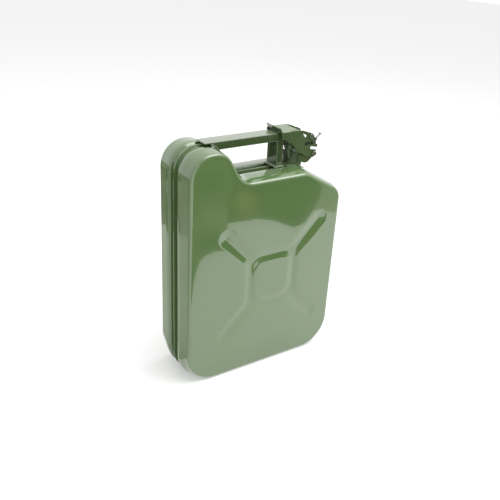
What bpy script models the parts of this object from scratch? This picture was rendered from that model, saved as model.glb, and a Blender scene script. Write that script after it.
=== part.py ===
"""A five-litre pressed-steel fuel can with a clamp-lever closure.

Two drawn half shells meet at a flange that stands in a channel round the can.
A box-section handle joins the hump to a post on the saddle.
The short tilted neck carries a cap on a hinge, and a clamp lever that hooks a catch pin.
X runs along the handle, Y from front to back and Z up; the can stands on Z = 0.
All lengths are in metres and all angles in degrees.
"""

import math

import bmesh
import bpy
from mathutils import Matrix, Vector
from mathutils.geometry import delaunay_2d_cdt

# Tank: overall sizes
body_width = 0.245
body_depth = 0.082
hump_height = 0.336
saddle_depth = 0.044
shoulder_fall = 0.035

# Tank: sheet, seam and edges
sheet_thickness = 0.001
seam_gap = 0.0003
channel_half_width = 0.011
channel_depth = 0.007
channel_wall_run = 0.0018
channel_lip = 0.0008
flange_setback = 0.0005
level_land = 0.009
face_edge_radius = 0.006
face_border = 0.0015
side_draft = 0.0016
saddle_drop = 0.0022
shoulder_drop = 0.0025

# Tank: corners of the outline
bottom_corner_radius = 0.034
bottom_corner_growth = 0.012
shoulder_corner_radius = 0.024
crest_radius = 0.032
saddle_corner_radius = 0.027
hump_inner_radius = 0.028
hump_outer_radius = 0.035
crest_x = 0.060
saddle_length = 0.1018
hump_slope_run = 0.0257

# Pressed pattern on both faces
pattern_shift = 0.0108
pattern_drop = 0.0043
press_depth = 0.0020
square_half_width = 0.0360
square_half_height = 0.0368
square_corner_radius = 0.016
square_wall_run = 0.0090
ring_half_width = 0.0455
ring_half_height = 0.0463
arm_end_margin = 0.0282
arm_angle = 45.0
arm_half_width = 0.0118
arm_wall_run = 0.0082
arm_root_radius = 0.014

# Handle
handle_width = 0.0234
handle_above_hump = 0.0033
handle_bar_depth = 0.0108
handle_post_gap = 0.0036
post_thickness = 0.0104
handle_wall = 0.0012
handle_tongue = 0.0210
handle_side_top = 0.0110
handle_outer_radius = 0.0022
handle_edge_radius = 0.0014
foot_length = 0.0165
foot_width = 0.0270
foot_thickness = 0.0014

# Neck and mouth, on an axis that leans over the crest
neck_tilt = 15.0
neck_sink = 0.001
neck_outer_radius = 0.0140
neck_wall = 0.0012
neck_below = 0.0105
neck_above = 0.0225
collar_wall = 0.0017
collar_height = 0.0062
collar_round = 0.0015
skirt_flange = 0.0057
skirt_thickness = 0.0012

# Seal and cap
gasket_setback = 0.0006
gasket_width = 0.0046
gasket_thickness = 0.0022
cap_setback = 0.0002
cap_sheet = 0.0010
cap_rim_width = 0.0063
cap_dome_height = 0.0042
stud_radius = 0.0026
stud_foot_radius = 0.0050
stud_head_radius = 0.0046
stud_head_height = 0.0015

# Closure pins, measured out from the neck tube, from its axis and from its base
hinge_outset = 0.0074
hinge_rise = 0.0238
lever_pivot_reach = 0.0070
lever_pivot_rise = 0.0433
catch_outset = 0.0059
catch_rise = 0.0210
barrel_outset = 0.0037
barrel_rise = 0.0343
pin_radius = 0.0021
catch_pin_radius = 0.0023
pin_head_radius = 0.0035
pin_head_height = 0.0012
eye_wall = 0.0019
cap_turn_share = 0.6

# Closure plates
bracket_sheet = 0.0012
hinge_side_gap = 0.0010
bridge_side_gap = 0.0045
bridge_web_length = 0.0180
bridge_web_rise = 0.0318
lever_side_gap = 0.0007
lever_sheet = 0.0012
roller_wall = 0.0008
barrel_radius = 0.0030
barrel_end_gap = 0.0010

# Lever, measured from its pivot pin
lever_length = 0.0500
claw_length = 0.0040
claw_depth = 0.0042
lever_step = 0.0004
tab_length = 0.0070
tab_angle = 58.0
slot_width = 0.0022
slot_length = 0.0120

# Locking pin
lock_pin_radius = 0.0012
lock_pin_reach = 0.0064
lock_pin_drop = 0.0032
lock_knob_radius = 0.0021
lock_arm_length = 0.0092
lock_arm_angle = 40.0
lock_pin_end = 0.0012
lock_pin_nose = 0.0028

# Breather pipe inside the tank
breather_radius = 0.0025
breather_side_gap = 0.0380
breather_under_saddle = 0.0160
breather_under_hump = 0.0140
breather_bend = 0.0110

# Clearances and cutting allowance
clearance = 0.0003
running_clearance = 0.0004
overrun = 0.002

# Numbers of facets
corner_steps = 6
edge_steps = 5
pattern_steps = 5
round_steps = 40
pin_steps = 20

# Heights and places that follow from the sizes above
saddle_height = hump_height - saddle_depth
shoulder_end_height = saddle_height - shoulder_fall
saddle_corner_x = crest_x - saddle_length
hump_corner_x = saddle_corner_x - hump_slope_run
pattern_centre_z = saddle_height / 2 - pattern_drop
arm_reach = (body_width / 2 - pattern_shift - arm_end_margin) / math.cos(math.radians(arm_angle))
handle_top = hump_height + handle_above_hump
handle_side_bottom_x = saddle_corner_x - hump_slope_run * (handle_top - handle_bar_depth - saddle_height) / saddle_depth
neck_base_z = saddle_height - neck_sink
neck_hole_radius = neck_outer_radius + clearance
collar_outer_radius = neck_hole_radius + collar_wall
skirt_outer_radius = neck_hole_radius + skirt_flange
post_right_x = crest_x - skirt_outer_radius - handle_post_gap
post_left_x = post_right_x - post_thickness
gasket_outer_radius = collar_outer_radius - gasket_setback
gasket_inner_radius = gasket_outer_radius - gasket_width
cap_outer_radius = collar_outer_radius - cap_setback
cap_dome_radius = cap_outer_radius - cap_rim_width
hinge_reach = neck_outer_radius + hinge_outset
catch_reach = neck_outer_radius + catch_outset
barrel_reach = neck_outer_radius + barrel_outset
catch_ear_gap = 2 * neck_hole_radius
lever_inner_width = 2 * (collar_outer_radius + lever_side_gap)
barrel_length = lever_inner_width - 2 * barrel_end_gap
bridge_gap = lever_inner_width - 2 * bridge_side_gap
hinge_ear_gap = bridge_gap - 2 * (bracket_sheet + hinge_side_gap)
breather_hump_x = breather_side_gap - body_width / 2
breather_low_z = saddle_height - breather_under_saddle
breather_top_z = hump_height - breather_under_hump

GREEN = (0.105, 0.170, 0.072)
DARK_GREEN = (0.070, 0.115, 0.050)
STEEL = (0.42, 0.42, 0.40)
RUBBER = (0.02, 0.02, 0.02)


def clear_scene():
    """Remove whatever the file holds before the can is built."""
    for item in list(bpy.data.objects):
        bpy.data.objects.remove(item, do_unlink=True)


def make_material(name, colour, roughness, metallic):
    """A plain surface with the piece's own colour."""
    material = bpy.data.materials.new(name)
    material.use_nodes = True
    shader = material.node_tree.nodes["Principled BSDF"]
    shader.inputs["Base Color"].default_value = (*colour, 1.0)
    shader.inputs["Roughness"].default_value = roughness
    shader.inputs["Metallic"].default_value = metallic
    return material


def add_part(name, mesh_data, colour, roughness=0.3, metallic=0.0, parent=None, smooth_angle=35.0):
    """Put a finished bmesh into the scene as one named piece."""
    mesh = bpy.data.meshes.new(name)
    bmesh.ops.recalc_face_normals(mesh_data, faces=mesh_data.faces)
    mesh_data.to_mesh(mesh)
    mesh_data.free()
    mesh.shade_smooth()
    mesh.set_sharp_from_angle(angle=math.radians(smooth_angle))
    piece = bpy.data.objects.new(name, mesh)
    bpy.context.scene.collection.objects.link(piece)
    piece.data.materials.append(make_material(name + "_finish", colour, roughness, metallic))
    piece.parent = parent
    return piece


def add_cutter(name, mesh_data, parent=None):
    """A body that only cuts others."""
    cutter = add_part(name, mesh_data, STEEL, parent=parent)
    cutter.hide_render = True
    cutter.display_type = 'WIRE'
    return cutter


def cut(piece, cutter, operation='DIFFERENCE'):
    """Cut a piece with a cutter, both in their places."""
    modifier = piece.modifiers.new("cut_by_" + cutter.name, 'BOOLEAN')
    modifier.operation = operation
    modifier.solver = 'EXACT'
    modifier.object = cutter


def add_frame(name, location, tilt=0.0, parent=None):
    """An empty that carries pieces, leaning over towards +X by the tilt."""
    frame = bpy.data.objects.new(name, None)
    bpy.context.scene.collection.objects.link(frame)
    frame.parent = parent
    frame.location = location
    frame.rotation_euler = (0.0, math.radians(tilt), 0.0)
    return frame


def arc_corner(before, corner, after, radius, steps):
    """Points of the arc that rounds one corner of an outline."""
    a = (before - corner).normalized()
    b = (after - corner).normalized()
    opening = a.angle(b)
    tangent = radius / math.tan(opening / 2)
    start = corner + a * tangent
    finish = corner + b * tangent
    centre = corner + (a + b).normalized() * (radius / math.sin(opening / 2))
    first = start - centre
    sweep = first.angle_signed(finish - centre)
    return [centre + Matrix.Rotation(-sweep * i / steps, 2) @ first for i in range(steps + 1)]


def corner_tangent(before, corner, after):
    """Length that a corner's arc takes from each side, for a radius of one."""
    opening = (before - corner).angle(after - corner)
    return 1.0 / math.tan(opening / 2)


def rounded_outline(corners):
    """Round an outline whose corners are (x, z, radius, steps); a short side limits its two arcs."""
    total = len(corners)
    places = [Vector(corner[:2]) for corner in corners]
    tangents = [corner_tangent(places[i - 1], places[i], places[(i + 1) % total]) * corners[i][2]
                for i in range(total)]
    limits = [min(1.0, (places[(i + 1) % total] - places[i]).length
                  / max(tangents[i] + tangents[(i + 1) % total], clearance / total)) for i in range(total)]
    points = []
    for i, (x, z, radius, steps) in enumerate(corners):
        if radius > 0:
            fitting = radius * min(limits[i - 1], limits[i])
            points += arc_corner(places[i - 1], places[i], places[(i + 1) % total], fitting, steps)
        else:
            points.append(places[i])
    return points


def inset_corners(corners, inset):
    """Move each side of an anticlockwise outline inwards and adapt its corner radii."""
    result = []
    total = len(corners)
    for i, (x, z, radius, steps) in enumerate(corners):
        here = Vector((x, z))
        into = (here - Vector(corners[i - 1][:2])).normalized()
        out = (Vector(corners[(i + 1) % total][:2]) - here).normalized()
        turn = into.x * out.y - into.y * out.x
        normal_in = Vector((-into.y, into.x))
        normal_out = Vector((-out.y, out.x))
        shift = (normal_in + normal_out) * (inset / (1.0 + normal_in.dot(normal_out)))
        sign = 1.0 if turn > 0 else -1.0
        result.append((x + shift.x, z + shift.y, radius - sign * inset, steps))
    return result


def tank_corners(level):
    """Corners of the tank's outline: level 0 at the channel, 1 where the face edge starts."""
    half = body_width / 2
    saddle = saddle_height - saddle_drop * level
    crest = saddle_height - shoulder_drop * level
    shoulder = shoulder_end_height - shoulder_drop * level
    bottom_radius = bottom_corner_radius + bottom_corner_growth * level
    return [
        (-half, 0.0, bottom_radius, corner_steps),
        (half, 0.0, bottom_radius, corner_steps),
        (half, shoulder, shoulder_corner_radius, corner_steps),
        (crest_x, crest, crest_radius, corner_steps),
        (saddle_corner_x, saddle, saddle_corner_radius, corner_steps),
        (hump_corner_x, hump_height, hump_inner_radius, corner_steps),
        (-half, hump_height, hump_outer_radius, corner_steps + 2),
    ]


def tank_loop(inset, level):
    """The tank's outline at one station of the half shell."""
    return rounded_outline(inset_corners(tank_corners(level), inset))


def shell_stations():
    """Stations (inset, distance from the seam, level), from flange tip to face."""
    seam_face = seam_gap / 2
    face_y = body_depth / 2
    edge_y = face_y - face_edge_radius
    floor_end = channel_half_width - channel_wall_run
    outer = [
        (flange_setback, seam_face + sheet_thickness, 0.0),
        (channel_depth, seam_face + sheet_thickness, 0.0),
        (channel_depth, floor_end, 0.0),
        (channel_lip, channel_half_width, 0.0),
        (0.0, channel_half_width + channel_lip, 0.0),
        (0.0, channel_half_width + level_land, 0.0),
        (side_draft, edge_y, 1.0),
    ]
    inner = [
        (flange_setback, seam_face, 0.0),
        (channel_depth + sheet_thickness, seam_face, 0.0),
        (channel_depth + sheet_thickness, floor_end + sheet_thickness / 2, 0.0),
        (channel_lip + sheet_thickness, channel_half_width + sheet_thickness / 2, 0.0),
        (sheet_thickness, channel_half_width + channel_lip + sheet_thickness / 2, 0.0),
        (sheet_thickness, channel_half_width + level_land, 0.0),
        (side_draft + sheet_thickness, edge_y, 1.0),
    ]
    inner_radius = face_edge_radius - sheet_thickness
    for step in range(1, edge_steps + 1):
        angle = math.radians(90.0 * step / edge_steps)
        across = 1.0 - math.cos(angle)
        outer.append((side_draft + face_edge_radius * across,
                      edge_y + face_edge_radius * math.sin(angle), 1.0))
        inner.append((side_draft + sheet_thickness + inner_radius * across,
                      edge_y + inner_radius * math.sin(angle), 1.0))
    outer.append((side_draft + face_edge_radius + face_border, face_y, 1.0))
    return outer, inner


def pattern_square(half_width, half_height, radius):
    """A rounded rectangle about the pattern's centre."""
    corners = [(pattern_shift + sx * half_width, pattern_centre_z + sz * half_height,
                radius, pattern_steps) for sx, sz in ((-1, -1), (1, -1), (1, 1), (-1, 1))]
    return rounded_outline(corners)


def pattern_cross(shrink):
    """The ring round the square with its four arms, drawn in by the given run of its wall."""
    half_width = ring_half_width - shrink
    half_height = ring_half_height - shrink
    arm_half = arm_half_width - shrink
    reach = arm_reach - shrink
    angle = math.radians(arm_angle)
    along = Vector((math.cos(angle), math.sin(angle)))
    across = Vector((-along.y, along.x))
    side_run = (half_width + across.x * arm_half) / along.x
    side_point = along * side_run - across * arm_half
    top_run = (half_height - across.y * arm_half) / along.y
    top_point = along * top_run + across * arm_half
    low_end = along * reach - across * arm_half
    high_end = along * reach + across * arm_half
    end_radius = arm_half * 0.97
    root_radius = arm_root_radius + shrink
    quarter = [(side_point, root_radius), (low_end, end_radius), (high_end, end_radius), (top_point, root_radius)]
    corners = []
    for sx, sz, order in ((1, 1, 1), (-1, 1, -1), (-1, -1, 1), (1, -1, -1)):
        for point, radius in quarter[::order]:
            corners.append((pattern_shift + sx * point.x, pattern_centre_z + sz * point.y,
                            radius, pattern_steps))
    return rounded_outline(corners)


def face_faces(boundary):
    """Triangulate the flat face with its pressed pattern; returns points, depths and triangles."""
    loops = [
        (boundary, 0.0),
        (pattern_cross(0.0), 0.0),
        (pattern_cross(arm_wall_run), press_depth),
        (pattern_square(square_half_width, square_half_height, square_corner_radius), press_depth),
        (pattern_square(square_half_width - square_wall_run, square_half_height - square_wall_run,
                        square_corner_radius - square_wall_run / 2), 0.0),
    ]
    points, depths, edges = [], [], []
    for loop, depth in loops:
        start = len(points)
        points += loop
        depths += [depth] * len(loop)
        edges += [(start + i, start + (i + 1) % len(loop)) for i in range(len(loop))]
    outcome = delaunay_2d_cdt(points, edges, [], 1, clearance / len(points))
    placed, triangles, sources = outcome[0], outcome[2], outcome[3]
    placed_depths = []
    for point, origin in zip(placed, sources):
        nearest = origin[0] if origin else min(range(len(points)), key=lambda i: (points[i] - point).length)
        placed_depths.append(depths[nearest])
    first_loop = {origin[0]: new for new, origin in enumerate(sources)
                  if origin and origin[0] < len(boundary)}
    return placed, placed_depths, triangles, first_loop


def make_half_shell(name, side):
    """One drawn half of the tank; side is -1 for the front half and +1 for the rear half."""
    data = bmesh.new()
    outer, inner = shell_stations()

    def add_loop(station):
        inset, distance, level = station
        return [data.verts.new((p.x, side * distance, p.y)) for p in tank_loop(inset, level)]

    def bridge(first, second):
        count = len(first)
        for i in range(count):
            j = (i + 1) % count
            data.faces.new((first[i], first[j], second[j], second[i]))

    def close_face(loop, station):
        placed, depths, triangles, first_loop = face_faces([Vector((v.co.x, v.co.z)) for v in loop])
        known = {new: loop[old] for old, new in first_loop.items()}
        flat = station[1]
        for i, point in enumerate(placed):
            if i not in known:
                known[i] = data.verts.new((point.x, side * (flat - depths[i]), point.y))
        for triangle in triangles:
            data.faces.new([known[i] for i in triangle])

    outer_loops = [add_loop(station) for station in outer]
    inner_loops = [add_loop(station) for station in inner]
    for loops in (outer_loops, inner_loops):
        for first, second in zip(loops, loops[1:]):
            bridge(first, second)
    bridge(outer_loops[0], inner_loops[0])
    close_face(outer_loops[-1], outer[-1])
    close_face(inner_loops[-1], inner[-1])
    return add_part(name, data, GREEN, roughness=0.2, smooth_angle=22.0)


def turned(profile, steps):
    """Turn a profile of (radius, height) about Z; a radius of zero closes on the axis."""
    data = bmesh.new()
    rings = []
    for radius, height in profile:
        if radius > 0:
            rings.append([data.verts.new((radius * math.cos(2 * math.pi * i / steps),
                                          radius * math.sin(2 * math.pi * i / steps), height))
                          for i in range(steps)])
        else:
            rings.append([data.verts.new((0.0, 0.0, height))] * steps)
    closed = all(radius > 0 for radius, height in profile)
    pairs = list(zip(rings, rings[1:])) + ([(rings[-1], rings[0])] if closed else [])
    for first, second in pairs:
        for i in range(steps):
            j = (i + 1) % steps
            corners = []
            for vertex in (first[i], first[j], second[j], second[i]):
                if vertex not in corners:
                    corners.append(vertex)
            if len(corners) > 2:
                data.faces.new(corners)
    return data


def plate(outline, low_y, high_y, data=None):
    """A flat plate from an outline in X and Z, between two values of Y."""
    if data is None:
        data = bmesh.new()
    low = [data.verts.new((p[0], low_y, p[1])) for p in outline]
    high = [data.verts.new((p[0], high_y, p[1])) for p in outline]
    count = len(outline)
    data.faces.new(low)
    data.faces.new(high[::-1])
    for i in range(count):
        j = (i + 1) % count
        data.faces.new((low[i], high[i], high[j], low[j]))
    return data


def cross_pin_profile(radius, length, head_radius, head_height):
    """Half profile of a pin with a round head at both ends, about its middle."""
    half = length / 2
    step = head_height / 3
    return [(0.0, -half), (head_radius - step, -half), (head_radius, -half + step),
            (head_radius, -half + head_height), (radius, -half + head_height),
            (radius, half - head_height), (head_radius, half - head_height),
            (head_radius, half - step), (head_radius - step, half), (0.0, half)]


def lay_along_y(data):
    """Turn a piece made about Z so that its axis lies along Y."""
    bmesh.ops.rotate(data, verts=data.verts, cent=(0.0, 0.0, 0.0),
                     matrix=Matrix.Rotation(math.radians(-90.0), 3, 'X'))
    return data


def tube_profile(inner_radius, outer_radius, low, high):
    """Closed profile of a plain ring or sleeve."""
    return [(outer_radius, low), (outer_radius, high), (inner_radius, high), (inner_radius, low)]


def join_bodies(target, other):
    """Unite a second body with the first one."""
    cut(target, other, 'UNION')


def make_tank():
    """Both half shells, each with its part of the hole for the neck."""
    front = make_half_shell("front_shell", -1)
    rear = make_half_shell("rear_shell", 1)
    hole = turned([(0.0, -neck_below - overrun), (neck_outer_radius + clearance, -neck_below - overrun),
                   (neck_outer_radius + clearance, neck_above), (0.0, neck_above)], round_steps)
    cutter = add_cutter("neck_hole_cutter", hole, parent=neck_frame)
    cut(front, cutter)
    cut(rear, cutter)


def saddle_line(offset):
    """The tank's outline over the crest, raised by an offset, from left to right."""
    loop = tank_loop(-offset, 0.0)
    top = [p for p in loop if p.y > shoulder_end_height - channel_depth and p.x > saddle_corner_x]
    return sorted(top, key=lambda p: p.x)


def make_neck_skirt():
    """The bent ring plate that closes the seam channel round the neck."""
    reach = skirt_outer_radius + overrun
    low = saddle_line(clearance)
    high = saddle_line(clearance + skirt_thickness)
    left_x = crest_x - reach - overrun
    low = [Vector((left_x, saddle_height + clearance))] + [p for p in low if p.x > left_x]
    high = [Vector((left_x, saddle_height + clearance + skirt_thickness))] + [p for p in high if p.x > left_x]
    data = plate(low + high[::-1], -reach, reach)
    skirt = add_part("neck_skirt", data, GREEN, roughness=0.22)
    outside = turned([(0.0, -neck_below), (skirt_outer_radius, -neck_below),
                      (skirt_outer_radius, neck_above), (0.0, neck_above)], round_steps)
    bore = turned([(0.0, -neck_below - overrun), (neck_outer_radius + clearance, -neck_below - overrun),
                   (neck_outer_radius + clearance, neck_above + overrun), (0.0, neck_above + overrun)], round_steps)
    cut(skirt, add_cutter("skirt_edge_cutter", outside, parent=neck_frame), 'INTERSECT')
    cut(skirt, add_cutter("skirt_bore_cutter", bore, parent=neck_frame))


def make_neck():
    """The filler neck and the rolled collar round its mouth."""
    inner_radius = neck_outer_radius - neck_wall
    data = turned(tube_profile(inner_radius, neck_outer_radius, -neck_below, neck_above), round_steps)
    add_part("filler_neck", data, GREEN, roughness=0.25, parent=neck_frame)
    low = neck_above - collar_height
    high = neck_above + clearance
    ring_inner = neck_outer_radius + clearance
    profile = [(ring_inner, low), (collar_outer_radius - collar_round, low),
               (collar_outer_radius, low + collar_round), (collar_outer_radius, high - collar_round),
               (collar_outer_radius - collar_round, high), (ring_inner, high)]
    add_part("mouth_collar", turned(profile, round_steps), GREEN, roughness=0.25, parent=neck_frame)


def frame_point(reach, rise):
    """A point of the closure, measured on the leaning neck frame."""
    return Vector((reach, 0.0, rise))


def eye_outline(centre, radius, start_angle, end_angle, steps=8):
    """Arc round a pin's eye, anticlockwise in X and Z."""
    return [(centre[0] + radius * math.cos(math.radians(start_angle + (end_angle - start_angle) * i / steps)),
             centre[1] + radius * math.sin(math.radians(start_angle + (end_angle - start_angle) * i / steps)))
            for i in range(steps + 1)]


def cross_hole(radius, half_length, centre):
    """A round cutter along Y through a point in X and Z."""
    hole = lay_along_y(turned([(0.0, -half_length), (radius, -half_length),
                               (radius, half_length), (0.0, half_length)], pin_steps))
    bmesh.ops.translate(hole, verts=hole.verts, vec=(centre[0], 0.0, centre[1]))
    return hole


def two_ears_with_web(name, outline, gap, web, centre, hole_radius, frame, colour):
    """Two equal ear plates joined by a web, with a pin hole through both ears."""
    half = gap / 2
    data = plate(outline, -half - bracket_sheet, -half)
    piece = add_part(name, data, colour, roughness=0.3, parent=frame)
    other = add_cutter(name + "_other_ear", plate(outline, half, half + bracket_sheet), parent=frame)
    inside = half + bracket_sheet / 2
    web_body = add_cutter(name + "_web", plate(web, -inside, inside), parent=frame)
    join_bodies(piece, web_body)
    join_bodies(piece, other)
    hole = cross_hole(hole_radius, gap, centre)
    cut(piece, add_cutter(name + "_hole", hole, parent=frame))
    return piece


def make_hinge_bracket():
    """Ears on the handle side of the neck that hold the cap's hinge pin."""
    eye = pin_radius + eye_wall
    wall_x = -neck_outer_radius - clearance
    back_x = wall_x - bracket_sheet
    web_low = neck_above - collar_height * 2.3
    web_high = neck_above - collar_height - clearance
    outline = ([(back_x - bracket_sheet, web_low), (back_x + bracket_sheet / 2, web_low),
                (back_x + bracket_sheet / 2, web_high), (back_x - bracket_sheet, web_high + bracket_sheet)]
               + eye_outline((-hinge_reach, hinge_rise), eye, 20.0, 215.0))
    web = [(back_x, web_low), (wall_x, web_low), (wall_x, web_high), (back_x, web_high)]
    two_ears_with_web("hinge_bracket", outline, hinge_ear_gap, web, (-hinge_reach, hinge_rise),
                      pin_radius + clearance, neck_frame, DARK_GREEN)
    pin = lay_along_y(turned(cross_pin_profile(pin_radius, bridge_gap + 2 * bracket_sheet
                                               + 2 * (pin_head_height + clearance),
                                               pin_head_radius, pin_head_height), pin_steps))
    piece = add_part("hinge_pin", pin, STEEL, roughness=0.35, metallic=0.9, parent=neck_frame)
    piece.location = frame_point(-hinge_reach, hinge_rise)


def make_catch_bracket():
    """The U-shaped bracket on the outer side of the neck, its pin and its roller."""
    eye = catch_pin_radius + eye_wall
    wall_x = neck_outer_radius + clearance
    face_x = wall_x + bracket_sheet
    low = neck_above * 0.34
    high = neck_above - collar_height - clearance
    back_x = -neck_outer_radius * 0.25
    outline = ([(back_x, low), (neck_outer_radius * 0.75, low * 0.7), (face_x, low)]
               + eye_outline((catch_reach, catch_rise), eye, -60.0, 130.0)
               + [(neck_outer_radius * 0.7, high * 0.99), (back_x, high * 0.92)])
    web = [(wall_x, low), (face_x, low), (face_x, high * 0.92), (wall_x, high * 0.92)]
    two_ears_with_web("catch_bracket", outline, catch_ear_gap, web, (catch_reach, catch_rise),
                      catch_pin_radius + clearance, neck_frame, DARK_GREEN)
    length = lever_inner_width + 2 * lever_sheet + 2 * (pin_head_height + running_clearance)
    pin = lay_along_y(turned(cross_pin_profile(catch_pin_radius, length, pin_head_radius,
                                               pin_head_height), pin_steps))
    piece = add_part("catch_pin", pin, STEEL, roughness=0.35, metallic=0.9, parent=neck_frame)
    piece.location = frame_point(catch_reach, catch_rise)
    half = catch_ear_gap / 2 - running_clearance
    inner_radius = catch_pin_radius + clearance
    sleeve = lay_along_y(turned(tube_profile(inner_radius, inner_radius + roller_wall, -half, half), pin_steps))
    roller = add_part("catch_roller", sleeve, STEEL, roughness=0.3, metallic=0.9, parent=neck_frame)
    roller.location = frame_point(catch_reach, catch_rise)


def make_cap():
    """Gasket, cap, stud and the bridge that carries them on the hinge pin."""
    base = neck_above + 2 * clearance

    def shifted(data, height=0.0):
        bmesh.ops.translate(data, verts=data.verts, vec=(hinge_reach, 0.0, height - hinge_rise))
        return data

    gasket_top = base + gasket_thickness
    ring = turned(tube_profile(gasket_inner_radius, gasket_outer_radius, base, gasket_top), round_steps)
    add_part("gasket", shifted(ring), RUBBER, roughness=0.6, parent=cap_frame)
    cap_low = gasket_top + clearance
    dome_top = cap_low + cap_dome_height
    slope_radius = cap_dome_radius + cap_dome_height / 3
    profile = [(0.0, dome_top - cap_sheet), (cap_dome_radius - cap_sheet, dome_top - cap_sheet),
               (slope_radius - cap_sheet, cap_low), (cap_outer_radius, cap_low),
               (cap_outer_radius, cap_low + cap_sheet), (slope_radius, cap_low + cap_sheet),
               (cap_dome_radius, dome_top), (0.0, dome_top)]
    add_part("cap", shifted(turned(profile, round_steps)), DARK_GREEN, roughness=0.3, parent=cap_frame)
    web_top = bridge_web_rise + bracket_sheet
    stud = [(0.0, dome_top + clearance), (stud_foot_radius, dome_top + clearance),
            (stud_foot_radius, bridge_web_rise - clearance), (stud_radius, bridge_web_rise - clearance),
            (stud_radius, web_top + clearance), (stud_head_radius, web_top + clearance),
            (stud_head_radius * 0.8, web_top + clearance + stud_head_height),
            (0.0, web_top + clearance + stud_head_height)]
    add_part("cap_stud", shifted(turned(stud, pin_steps)), STEEL, roughness=0.35, metallic=0.9, parent=cap_frame)

    eye = pin_radius + eye_wall
    across = hinge_reach + lever_pivot_reach
    rise = lever_pivot_rise - hinge_rise
    barrel = (hinge_reach + barrel_reach, barrel_rise - hinge_rise)
    low = cap_low + cap_sheet + running_clearance - hinge_rise
    top = web_top - hinge_rise
    half_web = bridge_web_length / 2
    barrel_eye = barrel_radius + clearance + bracket_sheet
    outline = (eye_outline((0.0, 0.0), eye, 125.0, 290.0)
               + [(eye * 1.5, low), (hinge_reach + half_web, low)]
               + eye_outline(barrel, barrel_eye, -80.0, 60.0)
               + eye_outline((across, rise), eye, 20.0, 120.0)
               + [(hinge_reach - half_web * 0.3, top + bracket_sheet * 2), (hinge_reach - half_web, top)])
    web = [(hinge_reach - half_web, top - bracket_sheet), (hinge_reach + half_web, top - bracket_sheet),
           (hinge_reach + half_web, top), (hinge_reach - half_web, top)]
    bridge = two_ears_with_web("cap_bridge", outline, bridge_gap, web, (0.0, 0.0),
                               pin_radius + clearance, cap_frame, DARK_GREEN)
    pivot_hole = cross_hole(pin_radius + clearance, bridge_gap, (across, rise))
    cut(bridge, add_cutter("bridge_pivot_hole", pivot_hole, parent=cap_frame))
    barrel_hole = cross_hole(barrel_radius + clearance, bridge_gap, barrel)
    cut(bridge, add_cutter("bridge_barrel_hole", barrel_hole, parent=cap_frame))
    stud_hole = turned([(0.0, 0.0), (stud_radius + clearance, 0.0),
                        (stud_radius + clearance, rise), (0.0, rise)], pin_steps)
    bmesh.ops.translate(stud_hole, verts=stud_hole.verts, vec=(hinge_reach, 0.0, 0.0))
    cut(bridge, add_cutter("bridge_stud_hole", stud_hole, parent=cap_frame))
    half = barrel_length / 2
    rounded = barrel_radius / 6
    bar = turned([(0.0, -half), (barrel_radius - rounded, -half), (barrel_radius, rounded - half),
                  (barrel_radius, half - rounded), (barrel_radius - rounded, half), (0.0, half)], pin_steps)
    piece = add_part("tie_barrel", lay_along_y(bar), STEEL, roughness=0.35, metallic=0.9, parent=cap_frame)
    piece.location = (barrel[0], 0.0, barrel[1])


# The lever's edge from its upper jaw over the top to the heel of its claw,
# as shares of the lever's reach from the pivot pin.
jaw_shares = [(0.205, -0.430), (0.231, -0.360), (0.241, -0.200), (0.200, -0.120), (0.130, -0.050)]
back_shares = [(-0.160, 0.144), (-0.280, 0.184), (-0.400, 0.204), (-1.000, 0.204), (-0.988, 0.016)]
belly_shares = [(-0.803, -0.026), (-0.673, -0.104), (-0.567, -0.220),
                (-0.473, -0.334), (-0.367, -0.418), (-0.279, -0.456)]
heel_share = (-0.120, -0.560)


def from_shares(shares):
    """Points of the lever from shares of its reach."""
    return [(lever_length * x, lever_length * z) for x, z in shares]


def catch_slide():
    """Place of the catch pin seen from the lever, and the way it leaves the hook as both parts turn."""
    hinge = cap_frame.matrix_world.translation
    pivot = lever_frame.matrix_world.translation
    catch = catch_frame.matrix_world.translation
    arm = pivot - hinge
    hook = catch - pivot
    lever_turn = 1.0 - cap_turn_share
    slide = Vector((cap_turn_share * arm.z - lever_turn * hook.z, lever_turn * hook.x - cap_turn_share * arm.x))
    return Vector((hook.x, hook.z)), slide.normalized()


def lever_outline():
    """Outline of the lever seen from the front, anticlockwise about its pivot pin."""
    centre, slide = catch_slide()
    hook = catch_pin_radius + running_clearance
    below = Vector((slide.y, -slide.x))
    wall = centre + below * hook
    tip_inner = wall + slide * claw_length
    tip_outer = tip_inner + below * (claw_depth * 0.7) - slide * (claw_depth * 0.5)
    points = from_shares([heel_share]) + [tuple(tip_outer), tuple(tip_inner)]
    start = math.degrees(math.atan2(below.y, below.x)) % 360.0
    points += eye_outline(tuple(centre), hook, start, start - 150.0)
    points += from_shares(jaw_shares)
    points += eye_outline((0.0, 0.0), pin_radius + eye_wall, 0.0, 100.0)
    points += from_shares(back_shares)
    points += from_shares(belly_shares)
    return points


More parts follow.
